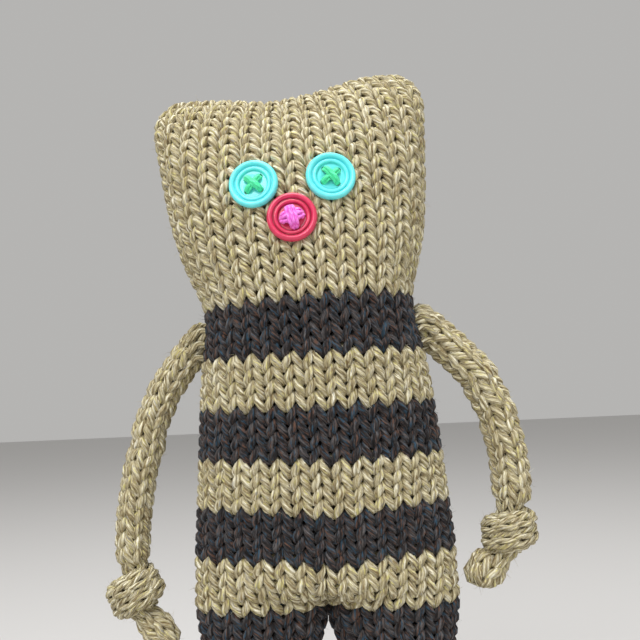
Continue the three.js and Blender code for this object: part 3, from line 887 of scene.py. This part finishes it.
def leg_sheet(owner, side):
    """The knitted sheet of a leg, swollen by its filling. At the crotch it becomes half of the trunk's."""
    covers = solid_tree(*[f"{owner}_{name}" for name, first, rows, slot in leg_bands])
    axis = joint_places[f"{owner}_hip"].x
    levels = np.arange(half_row / 2, torso_bottom, half_row)
    middles = [Vector((axis, 0, z)) for z in levels]
    widths, depths = [
        smoothed(np.array([reach(covers, middle, way) for middle in middles]) - torso_inset)
        for way in (Vector((side, 0, 0)), forward)
    ]
    start = math.pi if side > 0 else 0
    half_start = trunk_stitches / 2 if side > 0 else 0
    leg_push = np.zeros((leg_swell_last - leg_swell_first + 1, leg_stitches, 3))
    turn_row = foot_turn / row_height
    flat_row = turn_row - sole_turn_rows

    def foot_shape(row):
        """How wide the foot is at a row, as a share of the leg, and how high."""
        if row >= turn_row:
            return 1.0, row * row_height
        bend = min((turn_row - row) / (turn_row - flat_row), 1) * math.pi / 2
        share = sole_share + (1 - sole_share) * math.cos(bend)
        if row < flat_row:
            gathered = (flat_row - row) / (flat_row - sole_first_row + sole_spare_rows)
            share = max(sole_share * (1 - gathered), sole_gather)
        return share, sole_rise + (foot_turn - sole_rise) * (1 - math.sin(bend))

    def place(rows, columns):
        points = []
        for row in rows:
            share, height = foot_shape(row)
            level = max(height, foot_turn)
            half_width = np.interp(level, levels, widths) * share
            half_depth = np.interp(level, levels, depths) * share
            x, y = ring(half_width, half_depth, 2, start, leg_stitches, columns)
            leg_ring = np.stack([axis + x, y, np.full_like(x, height)], axis=1)
            leg_ring += swollen(leg_push, row - leg_swell_first, columns)
            # Below the crotch the inner sides of the thighs are drawn together.
            from_middle = side * leg_ring[:, 0]
            inmost = from_middle.min()
            meeting = eased((height - thighs_part) / (crotch_low - thighs_part))
            pull = max(inmost - thigh_touch, 0) * meeting
            pulled = np.clip(1 - (from_middle - inmost) / thigh_pull_reach, 0, 1) ** 2
            leg_ring[:, 0] -= side * pull * pulled
            # Above it the leg's ring turns into half of the trunk's.
            joined = eased((height - crotch_low) / (crotch_high - crotch_low))
            if joined > 0:
                half_columns = np.clip(columns, 0, leg_stitches) + half_start
                half_columns = half_columns - 1e-6 * (half_columns >= trunk_stitches)
                half_ring = trunk_sheet([row - torso_bottom / row_height], half_columns)[0]
                leg_ring = leg_ring * (1 - joined) + half_ring * joined
            points.append(leg_ring)
        return np.array(points)

    slack = place(np.arange(leg_swell_first, leg_swell_last + 1), np.arange(leg_stitches))
    leg_push[:] = swelling(f"{owner}_leg_cloth", slack)
    return place


for owner, side in (("left", 1), ("right", -1)):
    leg = leg_sheet(owner, side)
    for name, first, rows, slot in leg_bands:
        closed = name != "hip_band"
        band = knit(f"knit_{owner}_{name}", leg, leg_stitches, first, rows, slot, closed=closed)
        if first < first_folding_row:
            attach(band, f"{owner}_leg")
        else:
            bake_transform(band)
        finished(f"{owner}_{name}")
    leg_filling = filling(f"filling_{owner}_leg_stuffing", leg, leg_stitches, *leg_filling_rows)
    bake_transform(leg_filling)
    finished(f"{owner}_leg_stuffing")


# Arms: knitted cords of five stitches in the light yarn. Each is sewn to the body's side, hangs in a bow,
# and ends in a knot, where the cord is wound about twice round itself, and a short tail. Its route is
# listed from the sewn end to the tail, and it is knitted from the tail up.
cord_stitches = 5
cord_row = 0.0043
cord_radius = 0.0055
cord_inset = 0.0022
cord_stitch_width = 0.0041
cord_yarn_radius = 0.00125
cord_loop_depth = 0.0011
cord_end_length = 0.004
cord_past_end = 0.2
path_step = 0.0008
curve_steps = 24
root_depth = 0.006
root_rise = 0.0035
root_length = 0.010
seat_rise = 0.0005
arm_levels = 14
arm_above_knot = 0.003
tail_levels = 4
tail_tip = 0.004
first_level_drop = 0.004
between_body_and_arm = 0.02
slack_drop = 0.013
slack_fullest = 0.017
slack_fade = 0.055
knot_entry = [(0, 0.0005, 0.004), (0, 0.001, -0.002)]
knot_exit = [(0, 0.001, 0.001), (0.001, 0.0005, -0.005)]
knot_start, knot_sweep, knot_step = 60, 690, 30
knot_climb = 0.0082
knot_half_width = 0.0052
knot_half_depth = 0.0042
knot_strand_radius = 0.0039
knot_inset_share = 0.62
knot_grip = 0.0075
knot_easing = 0.005
knot_reach = 0.0105


def smooth_path(points, step):
    """Points a step apart on a smooth curve through the given ones."""
    points = np.array(points, float)
    padded = np.vstack([2 * points[0] - points[1], points, 2 * points[-1] - points[-2]])
    fine = []
    for i in range(len(points) - 1):
        a, b, c, d = padded[i : i + 4]
        for t in np.linspace(0, 1, curve_steps, endpoint=False):
            bent = (2 * a - 5 * b + 4 * c - d) * t**2 + (3 * b - a - 3 * c + d) * t**3
            fine.append(0.5 * (2 * b + (c - a) * t + bent))
    fine = np.vstack([fine, points[-1]])
    length = running_length(fine)
    return between(np.linspace(0, length[-1], max(int(length[-1] / step), 2) + 1), length, fine)


def cord_sheet(path, depths, widths):
    """The sheet of a knitted cord along a path, with half depths and widths there, and its length."""
    tangents = np.gradient(path, axis=0)
    tangents /= np.linalg.norm(tangents, axis=1, keepdims=True)
    fronts = [np.cross(tangents[0], (1, 0, 0))]
    fronts[0] = fronts[0] / np.linalg.norm(fronts[0])
    for tangent in tangents[1:]:
        flat = fronts[-1] - tangent * (fronts[-1] @ tangent)
        fronts.append(flat / np.linalg.norm(flat))
    fronts = np.array(fronts)
    sides = np.cross(tangents, fronts)
    length = running_length(path)

    def place(rows, columns):
        at = np.array(rows) * cord_row
        beyond = (at - np.clip(at, 0, length[-1]))[:, None]
        middle = between(at, length, path) + between(at, length, tangents) * beyond * cord_past_end
        front = between(at, length, fronts) * np.interp(at, length, depths)[:, None]
        side = between(at, length, sides) * np.interp(at, length, widths)[:, None]
        angle = math.tau * np.asarray(columns) / cord_stitches
        return (
            middle[:, None, :]
            + front[:, None, :] * np.cos(angle)[None, :, None]
            + side[:, None, :] * np.sin(angle)[None, :, None]
        )

    return place, length[-1]


def cord_middle(names, top, low, count):
    """The middle of the cord's solids at levels from a top point down."""
    covers = solid_tree(*names)
    away = 1 if top.x > 0 else -1
    points = []
    for z in np.linspace(top.z - first_level_drop, low, count):
        outer = covers.ray_cast(Vector((away * far_out, 0, z)), Vector((-away, 0, 0)))[0]
        inner = covers.ray_cast(Vector((away * between_body_and_arm, 0, z)), Vector((away, 0, 0)))[0]
        if outer is not None and inner is not None:
            points.append(((outer.x + inner.x) / 2, 0, z))
    return points


def knot_route(knot, tilt, inward):
    """The cord's way into the knot, round itself and out through the middle."""
    entry, leaving = [
        [knot + inward * x + Vector((0, y, z)) for x, y, z in points] for points in (knot_entry, knot_exit)
    ]
    tilted = Matrix.Rotation(tilt, 3, "Y")
    winding = []
    for turned in range(0, knot_sweep, knot_step):
        angle = math.radians(knot_start + turned)
        climb = knot_climb * (turned / knot_sweep - 0.5)
        around = Vector((knot_half_width * math.cos(angle), knot_half_depth * math.sin(angle), climb))
        winding.append(knot + tilted @ around)
    return entry + winding + leaving


def middle_of(node_name):
    low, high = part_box(node_name)
    return (low + high) / 2


def arm_route(owner, side, knot_tilt, tail_swing, slack_pull):
    """The points that an arm's cord passes, from inside the body to the tail's end."""
    shoulder = joint_places[f"{owner}_arm_raise"]
    seat = middle_of(f"{owner}_shoulder_stitches")
    knot = middle_of(f"{owner}_hand_knot")
    inward = Vector((-side, 0, 0))
    start = [seat + inward * root_depth + Vector((0, 0, root_rise)), seat + Vector((0, 0, seat_rise))]
    arm_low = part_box(f"{owner}_hand_knot")[1].z + arm_above_knot
    arm = cord_middle([f"{owner}_upper_arm", f"{owner}_forearm"], shoulder, arm_low, arm_levels)
    arm = np.array([point for point in arm if point[2] < shoulder.z - slack_drop])
    fallen = shoulder.z - arm[:, 2]
    fading = np.clip(1 - (fallen - slack_fullest) / slack_fade, 0, 1)
    arm[:, 0] -= side * slack_pull * eased(fallen / slack_fullest) * fading
    tail_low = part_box(f"{owner}_cord_tail")[0].z + tail_tip
    tail = cord_middle([f"{owner}_cord_tail"], knot, tail_low, tail_levels)[-2:]
    tail = [Vector(point) + inward * tail_swing for point in tail]
    return [*start, *arm, *knot_route(knot, knot_tilt, inward), *tail]


def distances(path, point):
    return np.linalg.norm(path - np.array(point), axis=1)


def row_at(distance):
    return int(round(distance / cord_row))


for owner, side, knot_tilt, tail_swing, spread, slack_pull in (
    ("right", -1, math.radians(-20), 0, 0.0002, 0.0017),
    ("left", 1, math.radians(0), 0.002, 0.0011, 0.0032),
):
    shoulder = joint_places[f"{owner}_arm_raise"]
    elbow = joint_places[f"{owner}_elbow"]
    seat = middle_of(f"{owner}_shoulder_stitches")
    path = smooth_path(arm_route(owner, side, knot_tilt, tail_swing, slack_pull), path_step)[::-1]
    # The cord is drawn thin in the knot and is round at both ends.
    from_knot = distances(path, middle_of(f"{owner}_hand_knot"))
    free = eased((from_knot - knot_grip) / knot_easing)
    inset = cord_inset * (knot_inset_share + (1 - knot_inset_share) * free)
    radii = knot_strand_radius + (cord_radius - knot_strand_radius) * free - inset
    steps = np.arange(len(path)) * path_step
    ends = np.minimum(steps, steps[-1] - steps) / cord_end_length
    radii = radii * rounded_end(ends)
    cord, length = cord_sheet(path, radii, radii + spread * free * eased(ends))
    # The rows at which one piece of the arm ends and the next begins.
    in_knot = np.where(from_knot < knot_reach)[0]
    knot_first, knot_last = row_at(steps[in_knot[0]]), row_at(steps[in_knot[-1]])
    elbow_row = row_at(steps[np.argmin(distances(path, elbow))])
    root_row = row_at(steps[np.argmin(distances(path, shoulder))] - root_length)
    for name, first, last in (
        ("cord_tail", 0, knot_first),
        ("hand_knot", knot_first, knot_last),
        ("forearm", knot_last, elbow_row),
        ("upper_arm", elbow_row, root_row),
        ("arm_root", root_row, int(length / cord_row)),
    ):
        piece = knit(
            f"knit_{owner}_{name}", cord, cord_stitches, first, last - first, "light_yarn",
            stitch_width=cord_stitch_width, yarn_radius=cord_yarn_radius, depth=cord_loop_depth,
        )
        if name in ("cord_tail", "hand_knot"):
            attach(piece, f"{owner}_forearm")
        elif name == "arm_root":
            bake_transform(piece)
        else:
            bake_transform(piece)
        finished(f"{owner}_{'shoulder_stitches' if name == 'arm_root' else name}")


# Buttons: glossy moulded plastic discs with a rounded rim, two grooves, a flat dish and four holes, sewn on
# to the knitting of the head. The profile is in millimetres from the axis and up from the back.
button_profile = [
    (6.0, 0), (6.7, 0.1), (7.15, 0.4), (7.42, 0.9), (7.5, 1.5), (7.38, 2.12), (7.08, 2.58), (6.7, 2.76),
    (6.3, 2.7), (5.95, 2.4), (5.76, 2.02), (5.64, 1.84), (5.52, 1.86), (5.4, 2.06), (5.15, 2.24),
    (4.8, 2.26), (4.5, 2.12), (4.3, 1.75), (4.15, 1.5), (4.0, 1.46), (3.7, 1.5),
]
millimetre = 0.001
button_sides = 72
button_edge = 0.00012
groove_radii = (0.0041, 0.0056)
groove_width = 0.00022
groove_shade = 0.85
hole_radius = 0.00095
hole_reach = 0.0029
hole_sides = 24
drill_ends = (-0.002, 0.004)


def plastic(name, colour, shade, painted_groove_colour):
    made, tree, shader = new_material(name, {"Coat Weight": 0.3, "Coat Roughness": 0.15})
    place = node(tree, "ShaderNodeTexCoord").outputs["Object"]
    swirl = noise(tree, place, scale=180.0, detail=3.0, distortion=1.5)["Fac"]
    body = ramp_node(tree, swirl, [(0.35, shade), (0.65, colour)])
    # Painted shade: the two grooves are mixed towards a darker colour.
    painted_groove_shade = node(tree, "ShaderNodeAttribute", attribute_name="groove").outputs["Fac"]
    tree.links.new(mix_colour(tree, painted_groove_shade, body, painted_groove_colour), shader.inputs["Base Color"])
    scuffs = noise(tree, place, scale=1500.0, detail=2.0)["Fac"]
    gloss = node(tree, "ShaderNodeMapRange", {"Value": scuffs, "To Min": 0.22, "To Max": 0.4})
    tree.links.new(gloss.outputs[0], shader.inputs["Roughness"])
    bumped(tree, shader, scuffs, strength=0.05, distance=0.0002)
    return made


turquoise = plastic("turquoise_plastic", linear(112, 236, 238), linear(92, 226, 232), linear(66, 200, 208))
red = plastic("red_plastic", linear(222, 54, 94), linear(204, 42, 82), linear(128, 8, 36))


def button_frame(node_name):
    """The place of a CAD button: the middle of its back and its across, up and outward directions."""
    points = np.array([v.co for v in frame["nodes"][node_name].data.vertices])
    middle = points.mean(axis=0)
    outward = Vector(np.linalg.eigh(np.cov((points - middle).T))[1][:, 0])
    if outward.y > 0:
        outward = -outward
    across = Vector((math.cos(head_lean), 0, math.sin(head_lean)))
    across = (across - outward * across.dot(outward)).normalized()
    up = outward.cross(across)
    centre = Vector(middle) + outward * ((points - middle) @ np.array(outward)).min()
    for way in (across, up):
        span = (points - middle) @ np.array(way)
        centre += way * (span.max() + span.min()) / 2
    return Matrix.Translation(centre) @ Matrix((across, up, outward)).transposed().to_4x4()


def circle(radius, height, sides, x=0, y=0):
    angles = [math.tau * i / sides for i in range(sides)]
    return [(x + radius * math.cos(angle), y + radius * math.sin(angle), height) for angle in angles]


def button(name, place, holes, material):
    """A turned disc with its holes drilled and its edges softened."""
    points = []
    for radius, height in button_profile:
        points += circle(radius * millimetre, height * millimetre, button_sides)
    disc = new_object(name, points, [], tube_faces(len(button_profile), button_sides))
    points, faces = [], []
    for hole in holes:
        faces += tube_faces(len(drill_ends), hole_sides, len(points))
        for height in drill_ends:
            points += circle(hole_radius, height, hole_sides, hole.x, hole.y)
    drill = new_object("drill", points, [], faces)
    put_in_scene(disc)
    put_in_scene(drill)
    cut = disc.modifiers.new("holes", "BOOLEAN")
    cut.object = drill
    cut.solver = "EXACT"
    soften = disc.modifiers.new("edges", "BEVEL")
    soften.width = button_edge
    soften.segments = 2
    soften.angle_limit = math.radians(50)
    made = bpy.data.meshes.new_from_object(disc.evaluated_get(bpy.context.evaluated_depsgraph_get()))
    disc.modifiers.clear()
    disc.data = made
    bpy.data.objects.remove(drill)
    spots = np.empty(len(made.vertices) * 3)
    made.vertices.foreach_get("co", spots)
    from_axis = np.hypot(spots[0::3], spots[1::3])
    # The grooves are marked for painted shade, strongest at their middle.
    in_groove = sum(hump(from_axis, radius, groove_width) for radius in groove_radii)
    keep(made, "groove", "FLOAT", "POINT", np.clip(in_groove, 0, 1) * groove_shade)
    made.transform(place)
    made.materials.clear()
    made.materials.append(material)
    made.shade_smooth()
    made.set_sharp_from_angle(angle=math.radians(40))
    return disc


button_places, button_holes = {}, {}
for owner, turn, material, slot in (
    ("right_eye", math.radians(45), turquoise, "turquoise_button"),
    ("left_eye", math.radians(36), turquoise, "turquoise_button"),
    ("nose", 0.2, red, "red_button"),
):
    angles = [turn + k * math.pi / 2 for k in range(4)]
    button_places[owner] = button_frame(f"{owner}_button")
    button_holes[owner] = [hole_reach * Vector((math.cos(a), math.sin(a), 0)) for a in angles]
    disc = button(f"{owner}_disc", button_places[owner], button_holes[owner], material)
    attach(disc, "head")
    finished(f"{owner}_button")


# Sewing thread: shiny stranded cotton, green on the eyes and pink on the nose. It goes up through one hole,
# over the button and down through another into the head, several times each way.
thread_fibres = (900, 9, 1)
thread_twist = (2600, 12.566, 1)
thread_step = 0.0003
thread_seed = 7
thread_wobble = 0.00008
thread_in_hole = 0.0004
thread_at_rim = 0.0014
thread_arch = 0.0003
middle_pass_lift = 0.0005
hole_lean, rim_lean, top_lean = 0.4, 0.8, 1.1
rim_out = 1.04
bend_in = 0.22
side_draw = 0.55
cross_passes = [(0, 2, (-0.0005, 0.0005, 0.0), 0.0022), (1, 3, (-0.0005, 0.0005, 0.0), 0.0029)]
side_passes = [(k, (k + 1) % 4, (-0.0006, 0.0004), 0.0023) for k in range(4)]
star_passes = side_passes + [(0, 2, (-0.0011, 0.0011, 0.0), 0.0031), (1, 3, (-0.0010, 0.0010, 0.0), 0.0037)]
thread_random = np.random.default_rng(thread_seed)


def thread_material(name, shade, colour, roughness):
    made, tree, shader = new_material(name, {"Roughness": roughness, "Sheen Weight": 0.3})
    strand = node(tree, "ShaderNodeUVMap", uv_map="yarn").outputs["UV"]
    fibres = noise(tree, stretched(tree, strand, thread_fibres), scale=1.0, detail=2.0)["Fac"]
    tree.links.new(ramp_node(tree, fibres, [(0.3, shade), (0.7, colour)]), shader.inputs["Base Color"])
    twist = parts_of(tree, stretched(tree, strand, thread_twist))
    ridges = reckon(tree, "SINE", sum_of(tree, twist["X"], twist["Y"]))
    bumped(tree, shader, ridges, strength=0.5, distance=0.0001)
    return made


green_thread = thread_material("green_thread", linear(30, 198, 126), linear(84, 246, 182), roughness=0.55)
pink_thread = thread_material("pink_thread", linear(226, 66, 200), linear(255, 150, 240), roughness=0.22)


def strand_tree():
    tree, given, result = new_tree("thread", [("Yarn Radius", "Float"), ("Yarn", "Material")])
    curve = node(tree, "GeometryNodeMeshToCurve", {"Mesh": given["Geometry"]}).outputs[0]
    tube = sweep(tree, curve, given["Yarn Radius"], given["Yarn"])
    tree.links.new(realized(tree, tube), result[0])
    return tree


thread_tree = strand_tree()


def strands(name, paths, radius, material):
    points, edges = [], []
    for path in paths:
        edges += [(len(points) + i, len(points) + i + 1) for i in range(len(path) - 1)]
        points += [tuple(p) for p in path]
    lines = new_object(name, points, edges, [])
    return grown(lines, thread_tree, {"Yarn Radius": radius, "Yarn": material})


def pass_over(a, b, offset, lift):
    """A thread's way up through one hole, over the button and down through another."""
    across = Vector((a.y - b.y, b.x - a.x, 0)).normalized()
    shift = across * (offset + thread_random.normal(0, thread_wobble))
    rise = lift + (middle_pass_lift if offset == 0 else 0)
    middle = (a + b) / 2 * side_draw
    up, down = [
        [
            hole + shift * hole_lean + Vector((0, 0, thread_in_hole)),
            hole * rim_out + shift * rim_lean + Vector((0, 0, thread_at_rim)),
            hole + (middle - hole) * bend_in + shift + Vector((0, 0, rise)),
        ]
        for hole in (a, b)
    ]
    top = middle + shift * top_lean + Vector((0, 0, rise + thread_arch))
    return smooth_path([*up, top, *down[::-1]], thread_step)


for owner, cotton, slot, passes, thread_radius in (
    ("right_eye", green_thread, "green_thread", cross_passes, 0.0005),
    ("left_eye", green_thread, "green_thread", cross_passes, 0.0005),
    ("nose", pink_thread, "pink_thread", star_passes, 0.0006),
):
    place, holes = button_places[owner], button_holes[owner]
    paths = []
    for first, last, offsets, lift in passes:
        for offset in offsets:
            paths.append([place @ Vector(p) for p in pass_over(holes[first], holes[last], offset, lift)])
    cross = strands(f"{owner}_sewing", paths, thread_radius, cotton)
    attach(cross, "head")
    finished(f"{owner}_thread")


# Shoulder stitches: short whip stitches of the light yarn that hug each arm's end and go into the body's
# side. The route of one is listed as distances from the arm's middle and out from its seat, and its slant.
whip_stitches = 9
whip_slant = 0.45
whip_step = 0.0004
whip_yarn_radius = 0.0009
whip_route = [
    (0.0062, -0.0030, 0),
    (0.0064, -0.0006, 0),
    (0.0060, 0.0016, whip_slant),
    (0.0044, 0.0030, whip_slant),
]
for owner, side in (("left", 1), ("right", -1)):
    seat = middle_of(f"{owner}_shoulder_stitches")
    outward = (joint_places[f"{owner}_arm_raise"] - seat).normalized()
    upward = outward.cross(forward) * side
    paths = []
    for k in range(whip_stitches):
        path = []
        for away, out, slant in whip_route:
            angle = math.tau * k / whip_stitches + slant
            way = forward * math.cos(angle) + upward * math.sin(angle)
            path.append(seat + way * away + outward * out)
        paths.append(smooth_path(path, whip_step))
    sewing = strands(f"{owner}_shoulder_sewing", paths, whip_yarn_radius, yarns["light_yarn"])
    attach(sewing, f"{owner}_shoulder")
    finished(f"{owner}_shoulder_stitches")
